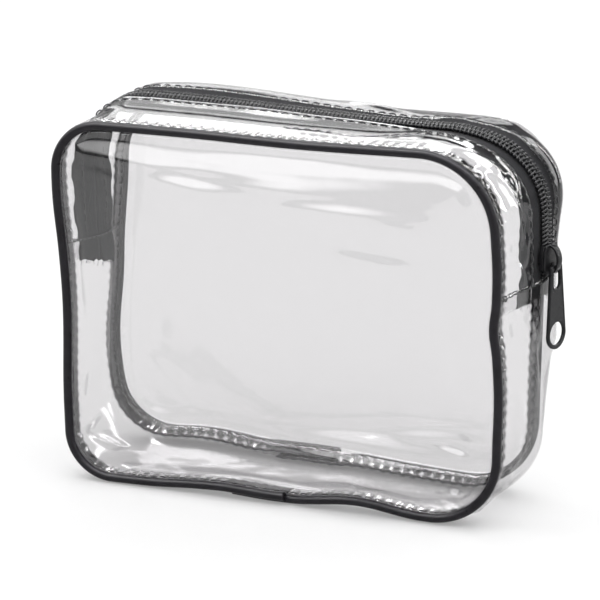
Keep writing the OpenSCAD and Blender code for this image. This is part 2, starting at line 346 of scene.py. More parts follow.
# The lowest the band's outer surface goes, so that the bag's weight flattens the folds it stands on
BAND_REST_Z = 0.1

# Folds of the band: (distance along, y, half length along, half width across, height)
FOLDS = [
    (233, 14, 30, 10, 4.6), (378, 14, 55, 9, 4.2), (300, 16, 40, 8, 1.2),
    (300, -7, 30, 3.4, 2.4), (345, -7, 30, 3.4, 2.9), (395, -7, 34, 3.4, 2.9),
    (236, -16, 12, 2.6, 1.1), (222, -13, 9, 2.4, -0.9), (206, -12, 7, 3, 1.0), (212, -18, 10, 2.2, -0.7),
    (262, -14, 14, 3, 0.9), (285, -17, 12, 2.6, -0.7), (183, -8, 5, 6, 0.8), (174, -16, 6, 3, -0.8),
    (168, 4, 26, 2.6, -1.5), (156, 12, 30, 3.2, 1.5), (150, -4, 24, 2.4, -1.0), (120, -14, 12, 3, 0.9),
    (104, -20, 8, 3, 1.2),
    (96, -12, 7, 4, -1.1), (84, -16, 9, 3, 1.2), (60, -20, 12, 3, 0.8), (30, -16, 16, 3, -0.8),
    (430, -12, 12, 3, -0.9), (446, 10, 12, 4, 0.9), (520, 8, 40, 3, 0.6), (600, -10, 12, 3, 1.0),
    (622, -16, 9, 3, -1.0), (640, -12, 10, 4, 1.0), (655, 6, 14, 4, 0.9),
]


# Creases of the band: (distance along, y) of both ends, half width, height
CREASES = [
    (246, -21, 203, -11, 1.9, 1.3), (240, -10, 214, -18, 1.8, 1.1), (226, -8, 199, -16, 1.7, -1.0),
    (258, -20, 232, -12, 1.8, 1.0), (206, -21, 190, -9, 1.8, 1.1), (182, -22, 160, 2, 2.0, 1.4),
    (176, 8, 140, 20, 2.2, 1.6), (170, -4, 132, 12, 2.0, -1.2), (150, -18, 118, -6, 2.0, 1.0),
    (112, -22, 92, -6, 1.8, 1.2), (106, -2, 88, -20, 1.8, -1.0), (98, -22, 76, -12, 1.6, 1.1),
    (84, -22, 66, -4, 1.9, 0.9), (60, 2, 20, 12, 2.2, 0.8), (40, -18, -30, -6, 2.2, 0.8),
    (300, -20, 262, -12, 1.9, 1.1), (330, -18, 290, -22, 1.7, 0.8), (268, 8, 236, 20, 2.2, 1.6),
    (290, 12, 256, 6, 2.0, 1.2), (330, 20, 286, 12, 2.0, 1.0),
    (586, -20, 612, -6, 1.9, 1.2), (600, 0, 628, -18, 1.8, 1.0), (618, -22, 640, -8, 1.8, 1.1),
    (566, -14, 590, 6, 2.0, 0.8),
]


# The slider's way, where the folds die out: distances along its two ends, its half width, and how far
# beyond it the folds come back, along and across
SLIDER_WAY = (185, 232, 6.0)
WAY_FADE = (14, 5)


def crease_height(along, y, start, start_y, end, end_y, width, height):
    """Height of one crease, highest at its middle."""
    middle_s, middle_y = (start + end) / 2, (start_y + end_y) / 2
    run_s, run_y = end - start, end_y - start_y
    ds = round_loop(along - middle_s, middle_total)
    dy = y - middle_y
    reach = math.hypot(run_s, run_y)
    t = (ds * run_s + dy * run_y) / reach ** 2
    off = (ds * run_y - dy * run_s) / reach
    return height * np.exp(-(off / width) ** 2) * hump(t, 0.62)


def band_fold(along, y):
    """Height of the small folds and seam puckers on the gusset and zip strips."""
    height = np.zeros(np.broadcast(along, y).shape)
    for s, fold_y, half_s, half_y, top in FOLDS:
        d = round_loop(along - s, middle_total)
        height = height + top * np.exp(-(d / half_s) ** 2 - ((y - fold_y) / half_y) ** 2)
    for crease in CREASES:
        height = height + crease_height(along, y, *crease)
    first, last, half_w = SLIDER_WAY
    past_end = np.abs(along - (first + last) / 2) - (last - first) / 2
    inside = (1 - smooth(past_end / WAY_FADE[0])) * (1 - smooth((np.abs(y) - half_w) / WAY_FADE[1]))
    height = height * (1 - inside)
    edge = np.exp(-np.clip((WALL_Y - np.abs(y)) / 3.2, 0, None))
    return height + 0.4 * edge * np.cos(2 * np.pi * along / STITCH_PITCH + np.sign(y))


def band_at(y, lift):
    """Points of the band at depth y (when the bag is straight), lifted off its outer surface."""
    v = 0.5 + np.asarray(y, float) / (2 * WALL_Y)
    front = front_seam.at(SEAM_Y - WALL_Y, BEAD_R)
    rear = rear_seam.at(SEAM_Y - WALL_Y, BEAD_R)
    v = np.broadcast_to(v, (STATIONS,))[:, None]
    crown = (1 - (2 * v - 1) ** 2) * (1 + LEAN_BACK * (2 * v - 1))
    base = front * (1 - v) + rear * v + (middle - (front + rear) / 2) * crown
    out = unit(front_seam.normal * (1 - v) + rear_seam.normal * v)
    lift = np.broadcast_to(np.asarray(lift, float), (STATIONS,))
    points = base + out * (lift + band_fold(middle_along, np.asarray(y, float)))[:, None]
    points[:, 2] = np.maximum(points[:, 2], BAND_REST_Z)
    return points


def stations_between(first, last):
    """Station numbers counter-clockwise from one to another, past the start of the loop if need be."""
    return np.arange(first, last + 1 if last > first else last + 1 + STATIONS) % STATIONS


def station_at(x_sign, z):
    """The station nearest to a height on one side."""
    score = np.abs(flat_middle[:, 1] - z) + np.where(flat_middle[:, 0] * x_sign > SIDE_X - 1, 0, 1000)
    return int(np.argmin(score))


right_seam, left_seam = station_at(1, SEAM_Z), station_at(-1, SEAM_Z)
right_end, left_end = station_at(1, TAPE_END_Z), station_at(-1, TAPE_END_Z)
base_stations = stations_between(station_at(-1, SEAM_Z + 0.5), station_at(1, SEAM_Z + 0.5))
zip_stations = stations_between(right_end, left_end)
chain_stations = stations_between(right_seam, left_seam)
below_seam = smooth((SEAM_Z + 0.6 - flat_middle[:, 1]) / 1.6) * (flat_middle[:, 1] < SEAM_Z + 1)
zip_drop = 0.75 * below_seam


# ---- materials ----
def new_material(name):
    mat = bpy.data.materials.new(name)
    mat.use_nodes = True
    mat.node_tree.nodes.clear()
    return mat, mat.node_tree.nodes, mat.node_tree.links


def add(nodes, kind, **settings):
    node = nodes.new(kind)
    for key, value in settings.items():
        if key in node.inputs:
            node.inputs[key].default_value = value
        else:
            setattr(node, key, value)
    return node


def noise(nodes, links, scale, detail=2.0, stretch=(1, 1, 1)):
    """A noise texture in metres, stretched along the axes."""
    coord = nodes.new("ShaderNodeTexCoord")
    mapping = add(nodes, "ShaderNodeMapping")
    mapping.inputs["Scale"].default_value = stretch
    texture = add(nodes, "ShaderNodeTexNoise", Scale=scale, Detail=detail)
    links.new(coord.outputs["Object"], mapping.inputs["Vector"])
    links.new(mapping.outputs["Vector"], texture.inputs["Vector"])
    return texture.outputs["Fac"]


def bumped(nodes, links, heights, target):
    """Chains bumps of (height socket, strength, distance in metres) into a shader's normal."""
    last = None
    for height, strength, distance in heights:
        bump = add(nodes, "ShaderNodeBump", Strength=strength, Distance=distance)
        links.new(height, bump.inputs["Height"])
        if last:
            links.new(last, bump.inputs["Normal"])
        last = bump.outputs["Normal"]
    links.new(last, target.inputs["Normal"])


def ranged(nodes, links, value, low, high, from_low=0.3, from_high=0.7):
    """Maps a noise value to a range."""
    remap = add(nodes, "ShaderNodeMapRange")
    remap.inputs["From Min"].default_value = from_low
    remap.inputs["From Max"].default_value = from_high
    remap.inputs["To Min"].default_value = low
    remap.inputs["To Max"].default_value = high
    links.new(value, remap.inputs["Value"])
    return remap.outputs["Result"]


def vinyl_material():
    """Clear soft PVC: a tinted see-through sheet with a Fresnel gloss and a faint calender texture."""
    mat, nodes, links = new_material("clear_vinyl")
    clear = add(nodes, "ShaderNodeBsdfTransparent", Color=(0.906, 0.903, 0.906, 1))
    gloss = add(nodes, "ShaderNodeBsdfGlossy", Color=(1, 1, 1, 1))
    links.new(ranged(nodes, links, noise(nodes, links, 70), 0.03, 0.07), gloss.inputs["Roughness"])
    bumped(nodes, links, [
        (noise(nodes, links, 24, 2), 0.5, 0.0018),
        (noise(nodes, links, 85, 2, (0.5, 1, 1)), 0.5, 0.00035),
        (noise(nodes, links, 420, 2), 0.25, 0.00004),
    ], gloss)
    facing = add(nodes, "ShaderNodeLayerWeight", Blend=0.5)
    power = add(nodes, "ShaderNodeMath", operation="POWER")
    power.inputs[1].default_value = 5
    schlick = add(nodes, "ShaderNodeMath", operation="MULTIPLY_ADD")
    schlick.inputs[1].default_value = 0.5
    schlick.inputs[2].default_value = 0.045
    mix = nodes.new("ShaderNodeMixShader")
    out = nodes.new("ShaderNodeOutputMaterial")
    links.new(facing.outputs["Facing"], power.inputs[0])
    links.new(power.outputs[0], schlick.inputs[0])
    links.new(schlick.outputs[0], mix.inputs["Fac"])
    links.new(clear.outputs[0], mix.inputs[1])
    links.new(gloss.outputs[0], mix.inputs[2])
    links.new(mix.outputs[0], out.inputs["Surface"])
    return mat


def principled(name, **settings):
    mat, nodes, links = new_material(name)
    shader = add(nodes, "ShaderNodeBsdfPrincipled", **settings)
    out = nodes.new("ShaderNodeOutputMaterial")
    links.new(shader.outputs[0], out.inputs["Surface"])
    return mat, nodes, links, shader


def tinted(nodes, links, value, dark, light, target):
    """Varies the base colour between two tones."""
    ramp = nodes.new("ShaderNodeValToRGB")
    ramp.color_ramp.elements[0].color = (*dark, 1)
    ramp.color_ramp.elements[1].color = (*light, 1)
    ramp.color_ramp.elements[0].position = 0.3
    ramp.color_ramp.elements[1].position = 0.7
    links.new(value, ramp.inputs["Fac"])
    links.new(ramp.outputs["Color"], target.inputs["Base Color"])


def piping_material():
    """Black soft PVC with a satin skin, faintly worn on the bead."""
    mat, nodes, links, shader = principled("piping_pvc")
    shader.inputs["Specular IOR Level"].default_value = 0.2
    tinted(nodes, links, noise(nodes, links, 180, 4), (0.006, 0.005, 0.007), (0.012, 0.011, 0.014), shader)
    links.new(ranged(nodes, links, noise(nodes, links, 260, 3), 0.27, 0.42), shader.inputs["Roughness"])
    bumped(nodes, links, [
        (noise(nodes, links, 150, 3), 0.4, 0.0003),
        (noise(nodes, links, 2400, 2), 0.25, 0.00004),
    ], shader)
    return mat


def cord_material():
    """Pale twisted polyester cord."""
    mat, nodes, links, shader = principled("core_cord", Roughness=0.85)
    tinted(nodes, links, noise(nodes, links, 900, 3), (0.55, 0.53, 0.48), (0.78, 0.76, 0.7), shader)
    bumped(nodes, links, [(noise(nodes, links, 1500, 3), 0.5, 0.0002)], shader)
    return mat


def tape_material():
    """Black woven polyester tape: fine ribs across it and a chevron of yarns, matte with a little sheen."""
    mat, nodes, links, shader = principled("woven_tape", Roughness=0.9)
    shader.inputs["Sheen Weight"].default_value = 0.08
    shader.inputs["Sheen Roughness"].default_value = 0.5
    shader.inputs["Specular IOR Level"].default_value = 0.25
    coord = nodes.new("ShaderNodeTexCoord")

    def yarns(scale, angle, kind):
        mapping = add(nodes, "ShaderNodeMapping")
        mapping.inputs["Rotation"].default_value = (0, 0, math.radians(angle))
        wave = add(nodes, "ShaderNodeTexWave", Scale=scale, Distortion=0.6, wave_type=kind)
        wave.inputs["Detail"].default_value = 1.0
        links.new(coord.outputs["UV"], mapping.inputs["Vector"])
        links.new(mapping.outputs["Vector"], wave.inputs["Vector"])
        return wave.outputs["Fac"]

    weft = yarns(620, 35, "BANDS")
    warp = yarns(620, -35, "BANDS")
    weave = add(nodes, "ShaderNodeMath", operation="MAXIMUM")
    links.new(weft, weave.inputs[0])
    links.new(warp, weave.inputs[1])
    tinted(nodes, links, weave.outputs[0], (0.006, 0.006, 0.007), (0.018, 0.018, 0.02), shader)
    bumped(nodes, links, [
        (weave.outputs[0], 0.8, 0.00012),
        (noise(nodes, links, 500, 3), 0.35, 0.0002),
    ], shader)
    return mat


def nylon_material():
    """Black nylon monofilament of the coil."""
    mat, nodes, links, shader = principled("coil_nylon")
    shader.inputs["Specular IOR Level"].default_value = 0.3
    tinted(nodes, links, noise(nodes, links, 400, 2), (0.004, 0.004, 0.005), (0.009, 0.009, 0.01), shader)
    links.new(ranged(nodes, links, noise(nodes, links, 600, 2), 0.2, 0.32), shader.inputs["Roughness"])
    bumped(nodes, links, [(noise(nodes, links, 1800, 2), 0.2, 0.00004)], shader)
    return mat


def paint_material():
    """Satin black paint on the die-cast slider and pull tab, a little rubbed."""
    mat, nodes, links, shader = principled("zip_paint")
    shader.inputs["Specular IOR Level"].default_value = 0.2
    tinted(nodes, links, noise(nodes, links, 260, 4), (0.005, 0.005, 0.006), (0.012, 0.012, 0.013), shader)
    links.new(ranged(nodes, links, noise(nodes, links, 350, 4), 0.24, 0.42), shader.inputs["Roughness"])
    bumped(nodes, links, [(noise(nodes, links, 1600, 3), 0.25, 0.00005)], shader)
    return mat


def thread_material():
    """Black polyester sewing thread."""
    mat, nodes, links, shader = principled("sewing_thread", Roughness=0.55)
    shader.inputs["Sheen Weight"].default_value = 0.2
    tinted(nodes, links, noise(nodes, links, 2200, 2), (0.008, 0.008, 0.009), (0.03, 0.03, 0.032), shader)
    bumped(nodes, links, [(noise(nodes, links, 3200, 2), 0.5, 0.0001)], shader)
    return mat


vinyl = vinyl_material()
piping_pvc = piping_material()
cord = cord_material()
tape_weave = tape_material()
nylon = nylon_material()
paint = paint_material()
thread = thread_material()


# ---- front and rear panels ----
PANEL_EDGE = -5.0                                 # where the panel's curved edge ends, from the bead's centre
PATCH = 160                                       # cells along each side of a panel's middle


def quarter_points(loop, count):
    """Resamples a closed loop evenly, with its quarters starting at the corners' arc middles."""
    starts = [HALF + CORNER // 2, HALF + CORNER + SIDE + CORNER // 2,
              HALF + 2 * CORNER + SIDE + TOP + CORNER // 2, HALF + 3 * CORNER + 2 * SIDE + TOP + CORNER // 2]
    sides = []
    for a, b in zip(starts, starts[1:] + [starts[0] + STATIONS]):
        run = loop[np.arange(a, b + 1) % STATIONS]
        along = lengths_along(run)
        want = np.linspace(0, along[-1], count + 1)
        sides.append(at_lengths(want, along, run))
    return sides


def coons_patch(sides):
    """Points of a patch bounded by right, top, left and bottom runs, all counter-clockwise."""
    right, top, left, bottom = sides
    n = len(right)
    u = np.linspace(0, 1, n)[None, :, None]
    v = np.linspace(0, 1, n)[:, None, None]
    low, high = bottom[None], top[::-1][None]
    west, east = left[::-1][:, None], right[:, None]
    corners = ((1 - u) * (1 - v) * bottom[0] + u * (1 - v) * bottom[-1]
               + (1 - u) * v * left[0] + u * v * top[0])
    return (1 - v) * low + v * high + (1 - u) * west + u * east - corners


def ridge(x, z, start, end, width, height):
    """A fold along a line, highest at its middle."""
    a, b = np.array(start, float), np.array(end, float)
    run = b - a
    t = ((x - a[0]) * run[0] + (z - a[1]) * run[1]) / (run @ run)
    off = ((x - a[0]) * run[1] - (z - a[1]) * run[0]) / np.linalg.norm(run)
    return height * np.exp(-(off / width) ** 2) * hump(t - 0.5, 0.62)


def ridges(x, z, rows):
    """All the folds of one panel."""
    height = ridge(x, z, *rows[0])
    for row in rows[1:]:
        height = height + ridge(x, z, *row)
    return height


# The panels' folds: (x, z) of both ends, half width, height
FRONT_RIDGES = [
    ((-78, 152), (-10, 132), 5, 1.3), ((-20, 143), (75, 128), 6, 1.1), ((10, 124), (84, 118), 4, -0.8),
    ((-60, 140), (60, 146), 4, 0.9), ((-92, 150), (20, 147), 1.7, 0.45),
    ((-88, 147), (40, 139), 1.8, -0.4), ((-84, 143), (0, 126), 2.0, 0.5),
    ((-40, 136), (70, 136), 1.8, 0.4), ((-10, 29), (88, 23), 2.1, 1.9), ((28, 17), (60, 12), 2.4, 2.0),
    ((70, 37), (99, 30), 2.0, 1.6), ((99, 30), (82, 44), 2.0, 1.4), ((76, 20), (98, 8), 1.9, 1.7),
    ((80, 9), (97, 22), 1.8, 1.5), ((86, 4), (92, 26), 1.7, 1.3), ((68, 14), (90, 16), 1.8, 1.2),
    ((-96, 16), (-78, 34), 2.1, 2.0), ((-92, 34), (-85, 54), 2.2, 1.5), ((-94, 26), (-70, 22), 1.8, 1.1),
    ((-88, 12), (-60, 20), 2.0, 1.0), ((-62, 60), (-56, 74), 2.6, 0.8),
]


def front_relief(x, z):
    """How far the front panel stands out, before it meets its edges."""
    pillow = 6.5 * (1 - np.abs(x / 98) ** 6) * (1 - np.abs((z - 76) / 84) ** 4)
    waves = 0.7 * np.sin(x / 23 + z / 41 + 0.6) * np.sin(z / 27 - x / 60) + 0.5 * np.sin(x / 13 - z / 33)
    return pillow + waves + ridges(x, z, FRONT_RIDGES)


REAR_RIDGES = [
    ((-30, 8), (90, 26), 4, 1.4), ((20, 14), (70, 20), 3, -1.1), ((-92, 40), (-60, 8), 4, 0.9),
]


def rear_relief(x, z):
    """How far the rear panel stands out."""
    pillow = 2.6 * (1 - np.abs(x / 98) ** 4) * (1 - np.abs((z - 80) / 78) ** 4)
    waves = 0.6 * np.sin(x / 29 - z / 35 + 1.1) * np.sin(z / 24 + x / 70) + 0.4 * np.sin(x / 17 + z / 30)
    return pillow + waves + ridges(x, z, REAR_RIDGES)


def seam_pucker(seam):
    """How far the stitches pull the sheets in and out along a seam."""
    return 0.3 * np.cos(2 * np.pi * seam.along / STITCH_PITCH)


def panel(name, seam, relief, node):
    """A panel: a patch across the bag, a bend round the bead, and an edge turned in along the flange."""
    bend = [(BEAD_R + 0.35 + SHEET_T / 2) * np.array([math.cos(math.radians(a)), math.sin(math.radians(a))])
            for a in range(-90, -14, 15)]
    tip_in = FLANGE_IN - 0.2
    rim = [(-0.15, PANEL_EDGE), (-0.12, PANEL_EDGE + 1), (-0.05, PANEL_EDGE + 1.8)]
    rim += [tuple(b) for b in bend]
    rim += [(3.2, -0.62), (4.4, -0.6), (5.6, -0.6), (7, -0.62), (8.3, -0.66), (tip_in, -0.7)]
    pucker = seam_pucker(seam)
    loops = [seam.at(y_in, u + (pucker if y_in > 2 else 0)) for y_in, u in rim]
    sides = [quarter_points(loop, PATCH) for loop in loops]
    patch = coons_patch(sides[0])
    x, z = patch[..., 0], patch[..., 2]
    n = PATCH + 1
    k = np.arange(n)
    edge = np.minimum(np.minimum(k[:, None], k[None, :]), np.minimum(PATCH - k[:, None], PATCH - k[None, :]))
    fade = smooth(edge / 9)
    patch[..., 1] -= seam.inwards[1] * relief(x, z) * fade
    grid = np.arange(n * n).reshape(n, n)
    border = np.concatenate([grid[:-1, -1], grid[-1, :0:-1], grid[:0:-1, 0], grid[0, :-1]])
    verts, rings = [patch.reshape(-1, 3)], [border]
    for four in sides[1:]:
        start = sum(len(v) for v in verts)
        verts.append(np.concatenate([run[:-1] for run in four]))
        rings.append(start + np.arange(len(border)))
    faces = [grid_faces(n, n)]
    for a, b in zip(rings, rings[1:]):
        faces.append(np.stack([a, b, np.roll(b, -1), np.roll(a, -1)], axis=1))
    v, f = shell(np.concatenate(verts), np.concatenate(faces), SHEET_T)
    obj = piece(name, v, f, vinyl, "clear_vinyl", [node])


panel("front_panel_sheet", front_seam, front_relief, "front_panel")
panel("rear_panel_sheet", rear_seam, rear_relief, "rear_panel")


# ---- gusset and zip strips ----
# Turned edge of the band at a seam: (in from the bead's centre, out from it)
TURNED_EDGE = [(FLANGE_IN - 0.2, 0.72), (8.3, 0.66), (7, 0.62), (5.6, 0.6), (4.4, 0.6), (3.2, 0.62),
               (2.6, 0.75), (2.3, 1.05), (2.32, 1.42), (2.6, 1.74)]


def turned_columns(seam):
    pucker = seam_pucker(seam)
    return [seam.at(y_in, u + pucker) for y_in, u in TURNED_EDGE]


def band_piece(name, columns, stations, node):
    """A clear sheet made of columns of points, cut to a run of stations."""
    grid = np.stack(columns, axis=1)[stations]
    rows, cols = grid.shape[:2]
    steps = np.linalg.norm(np.diff(grid, axis=1), axis=2)
    across = np.concatenate([np.zeros((rows, 1)), np.cumsum(steps, axis=1)], axis=1)
    along = lengths_along(grid[:, cols // 2])
    uv = np.stack([np.broadcast_to(along[:, None], (rows, cols)), across], axis=-1).reshape(-1, 2)
    verts, faces = shell(grid.reshape(-1, 3), grid_faces(rows, cols), SHEET_T)
    obj = piece(name, verts, faces, vinyl, "clear_vinyl", [node], uv=np.concatenate([uv, uv]))


def base_gusset():
    inner = WALL_Y - 0.7
    ys = np.linspace(-inner, inner, 41)
    between = [band_at(y, STRIP_LIFT) for y in ys]
    columns = turned_columns(front_seam) + between + turned_columns(rear_seam)[::-1]
    band_piece("base_gusset_sheet", columns, base_stations, "base_gusset")


def zip_strip(side, seam, name, node):
    ys = side * np.linspace(WALL_Y - 0.7, STRIP_EDGE, 18)
    hem = [0.0] * 16 + [0.06, 0.14]
    columns = turned_columns(seam) + [band_at(y, STRIP_LIFT + h - zip_drop) for y, h in zip(ys, hem)]
    if side > 0:
        columns = columns[::-1]
    band_piece(name, columns, zip_stations, node)


base_gusset()
zip_strip(-1, front_seam, "front_zip_strip_sheet", "zip_strip_front")
zip_strip(1, rear_seam, "rear_zip_strip_sheet", "zip_strip_rear")


# ---- zip tapes ----
def zip_tape(side, name, node):
    """A woven half tape with a scalloped outer edge and ragged cut ends."""
    count = 16
    scallop = 0.45 * np.abs(np.sin(np.pi * middle_along / 6.0))
    at_slider = (flat_middle[:, 0] > SIDE_X - CORNER_R) & (flat_middle[:, 1] < ARC_TOP)
    inner = np.where(at_slider, CHAIN_GAP, 0.05)
    on_left = smooth((CORNER_R - SIDE_X - flat_middle[:, 0]) / 12)
    scallop = scallop + on_left * 0.8 * np.sin(middle_along / 2.7)
    columns = []
    for k in range(count):
        t = k / (count - 1)
        y = side * (TAPE_EDGE + (inner - TAPE_EDGE) * t - scallop * (1 - t) ** 6)
        columns.append(band_at(y, TAPE_LIFT - zip_drop))
    if side > 0:
        columns = columns[::-1]
    grid = np.stack(columns, axis=1)[zip_stations]
    for end, away in ((0, 1), (-1, -1)):
        ragged = rng.normal(0, 0.25, count) + 0.5 * np.sin(np.arange(count) * 0.7 + side)
        for step in range(4):
            row = end + away * step
            grid[row, :, 2] += ragged * (1 - step / 4)
    slant = 7 * (grid[-1, :, 1] + TAPE_EDGE) / (2 * TAPE_EDGE)
    grid[-16:, :, 2] -= np.linspace(0, 1, 16)[:, None] ** 1.5 * slant
    rows, cols = grid.shape[:2]
    along = lengths_along(grid[:, cols // 2])
    across = np.abs(np.linspace(CHAIN_GAP, TAPE_EDGE, cols))
    uv = np.stack(np.broadcast_arrays(along[:, None], across[None, :]), axis=-1).reshape(-1, 2)
    verts, faces = shell(grid.reshape(-1, 3), grid_faces(rows, cols), TAPE_T)
    parts, uvs = [(verts, faces)], [np.concatenate([uv, uv])]
    for end in (0, -1):
        for _ in range(12):
            start = grid[end, rng.integers(1, cols - 1)]
            drop = rng.uniform(0.6, 1.8)
            t = np.linspace(0, 1, 6)[:, None]
            sway = rng.normal(0, 0.7, 3)
            parts.append(tube(start + t * np.array([0, 0, -drop]) + t ** 2 * sway, 0.07, 5))
            uvs.append(np.zeros((len(parts[-1][0]), 2)))
    verts, faces = joined(parts)
    obj = piece(name, verts, faces, tape_weave, "zip_tape", [node], uv=np.concatenate(uvs))


zip_tape(-1, "front_zip_tape_weave", "zip_tape_front")
zip_tape(1, "rear_zip_tape_weave", "zip_tape_rear")


# ---- coils ----
def resample(points, step, offset=0.0):
    """Points at even distances along a line, and the distances."""
    along = lengths_along(points)
    want = np.arange(offset, along[-1], step)
    return at_lengths(want, along, points), want


def chain_frame():
    """The chain's line on the strips' outer surface, with its outward and backward vectors."""
    line = band_at(0.0, 0.0)[chain_stations]
    back = unit((band_at(1.5, 0.0) - band_at(-1.5, 0.0))[chain_stations])
    out = unit(np.cross(unit(np.gradient(line, axis=0)), back))
    return line, out * np.sign((out * middle_out[chain_stations]).sum(axis=1))[:, None], back


def coil(side, name, node, cord_name, cord_node):
    """One half of the coil: a strand wound in flattened loops, its heads crossing the zip's centre line."""
    line, out, back = chain_frame()
    along = lengths_along(line)
    per_turn = 16
    turns = int(along[-1] / COIL_PITCH) - 1
    phase = np.arange(turns * per_turn) / per_turn
    s = COIL_PITCH * (phase + (0.5 if side > 0 else 0.0) + 0.25)
    a = 2 * np.pi * phase
    reach_in, reach_out = -0.45, CHAIN_GAP + COIL_W - STRAND_R
    mid_y, half_y = (reach_in + reach_out) / 2, (reach_out - reach_in) / 2
    half_h = 1.15 - STRAND_R
    across = mid_y + half_y * np.sign(np.cos(a)) * np.abs(np.cos(a)) ** 0.8
    height = -0.45 + 1.15 + half_h * np.sign(np.sin(a)) * np.abs(np.sin(a)) ** 0.7
    base = at_lengths(s, along, line)
    up = unit(at_lengths(s, along, out))
    away = side * unit(at_lengths(s, along, back))
    points = base + up * height[:, None] + away * across[:, None]
    verts, faces = tube(points, STRAND_R, 7)
    piece(name, verts, faces, nylon, "zip_coil", [node])
    core, _ = resample(base + up * 0.72 + away * 2.1, 1.5)
    verts, faces = tube(core, 0.34, 8)
    piece(cord_name, verts, faces, thread, "thread", [cord_node])


coil(-1, "front_coil_strand", "zip_coil_front", "front_coil_core", "coil_cord_front")
coil(1, "rear_coil_strand", "zip_coil_rear", "rear_coil_core", "coil_cord_rear")


# ---- piping ----
LAP_X = (-22.0, 3.0)                              # the bead's two ends overlap between these, at the bottom


def piping(seam, name, node, core_name, core_node, lap):
    """A bead with a cord inside and a sewn flange, its ends lapped under the bag."""
    bottom = np.abs(seam.centre[:, 2] - LOW_Z) < 12
    first = int(np.argmin(np.where(bottom, np.abs(seam.centre[:, 0] - lap[0]), 1e9)))
    last = int(np.argmin(np.where(bottom, np.abs(seam.centre[:, 0] - lap[1]), 1e9)))
    if last < first:
        last += STATIONS
    order = np.arange(first, last + STATIONS + 1) % STATIONS
    count = len(order)
    overlap = last - first
    k = np.arange(count)
    head = smooth(1 - (k - overlap) / 14) * (k < overlap + 14)
    tail = smooth(1 - (count - 1 - overlap - k) / 14) * (k > count - 1 - overlap - 14)
    shift_in = 1.5 * head - 0.9 * tail
    shift_out = 0.9 * head - 0.7 * tail
    points = seam.centre[order] + seam.inwards * shift_in[:, None] + seam.normal[order] * shift_out[:, None]
    across = np.broadcast_to(seam.inwards, points.shape).astype(float)
    up = seam.normal[order]
    ripple = 0.22 * np.cos(2 * np.pi * seam.along[order] / STITCH_PITCH)
    root = math.radians(9)
    angles = np.linspace(root, 2 * np.pi - root, 25)
    bead = np.stack([BEAD_R * np.cos(angles), BEAD_R * np.sin(angles)], axis=1)
    hole = bead * 0.5
    steps = np.linspace(BEAD_R + 0.6, FLANGE_IN, 6)
    under = [(x, -0.3) for x in steps]
    over = [(x, 0.3) for x in steps[::-1]]
    outline = np.concatenate([bead, under, over])
    wave = np.where(outline[:, 0] > BEAD_R + 0.5, smooth((outline[:, 0] - BEAD_R) / 3), 0.0)
    rings = points[:, None] + across[:, None] * outline[None, :, :1] + up[:, None] * (
        outline[None, :, 1:] + ripple[:, None, None] * wave[None, :, None])
    inner = points[:, None] + across[:, None] * hole[None, :, :1] + up[:, None] * hole[None, :, 1:]
    n, m = len(outline), len(hole)
    faces = grid_faces(count, n, closed=True).tolist()
    start = count * n
    faces += (start + grid_faces(count, m, closed=True)[:, ::-1]).tolist()
    for row, turn in ((0, -1), (count - 1, 1)):
        o, i = row * n, start + row * m
        ring = [[o + j, o + j + 1, i + j + 1, i + j] for j in range(m - 1)]
        ring.append([o + m - 1, o, i, i + m - 1])
        ring.append([o + m - 1] + [o + j for j in range(m, n)] + [o])
        faces += [face[::turn] for face in ring]
    verts = np.concatenate([rings.reshape(-1, 3), inner.reshape(-1, 3)])
    piece(name, verts, faces, piping_pvc, "piping", [node])
    wobble = 1 + 0.04 * np.sin(k * 1.7)
    inner_part = slice(2, -2)
    verts, faces = sweep(points[inner_part], circle(0.9, 12), (across * wobble[:, None])[inner_part],
                         (up * wobble[:, None])[inner_part])
    piece(core_name, verts, faces, cord, "piping_cord", [core_node])


piping(front_seam, "front_piping_bead", "front_piping", "front_piping_cord", "front_piping_core", LAP_X)
piping(rear_seam, "rear_piping_bead", "rear_piping", "rear_piping_cord", "rear_piping_core", (-22.0, 5.0))


# ---- stitches ----
STITCH_SHARE = 0.72                               # how much of its pitch a stitch covers
STITCH_RISE, STITCH_SINK = 0.32, 0.55             # height on the sheet, and depth of its ends


def stitches(line, out, pitch=STITCH_PITCH, offset=0.0):
    """Stitches along a line on a sheet: each rises out of its hole, lies on the sheet and goes back in."""
    along = lengths_along(line)
    count = int((along[-1] - offset) / pitch)
    t = np.linspace(0, 1, 8)
    jitter = rng.normal(0, 0.12, count)
    s = offset + pitch * (np.arange(count) + 0.14)[:, None] + jitter[:, None] + t[None] * pitch * STITCH_SHARE
    height = STITCH_RISE - (STITCH_RISE + STITCH_SINK) * np.abs(2 * t - 1) ** 4
    points = at_lengths(s, along, line)
    up = unit(at_lengths(s, along, out))
    points = points + up * height[None, :, None]
    tangent = unit(np.gradient(points, axis=1))
    side = unit(np.cross(tangent, up))
    up = np.cross(side, tangent)
    ring = circle(THREAD_R, 6)
    verts = points[:, :, None] + side[:, :, None] * ring[:, :1] + up[:, :, None] * ring[:, 1:]
    one = grid_faces(8, 6, closed=True)
    parts = []
    for k in range(count):
        parts.append((verts[k].reshape(-1, 3), one.tolist() + [list(range(6))[::-1], list(range(42, 48))]))
    return parts


def closed_run(points):
    return np.concatenate([points, points[:1]])


def seam_stitches(seam, name, node):
    y_in = BEAD_R + 1.9
    upper = stitches(closed_run(seam.at(y_in, 0.85)), closed_run(seam.normal))
    lower = stitches(closed_run(seam.at(y_in, -0.85)), -closed_run(seam.normal), offset=STITCH_PITCH / 2)
    piece(name, *joined(upper + lower), thread, "thread", [node])


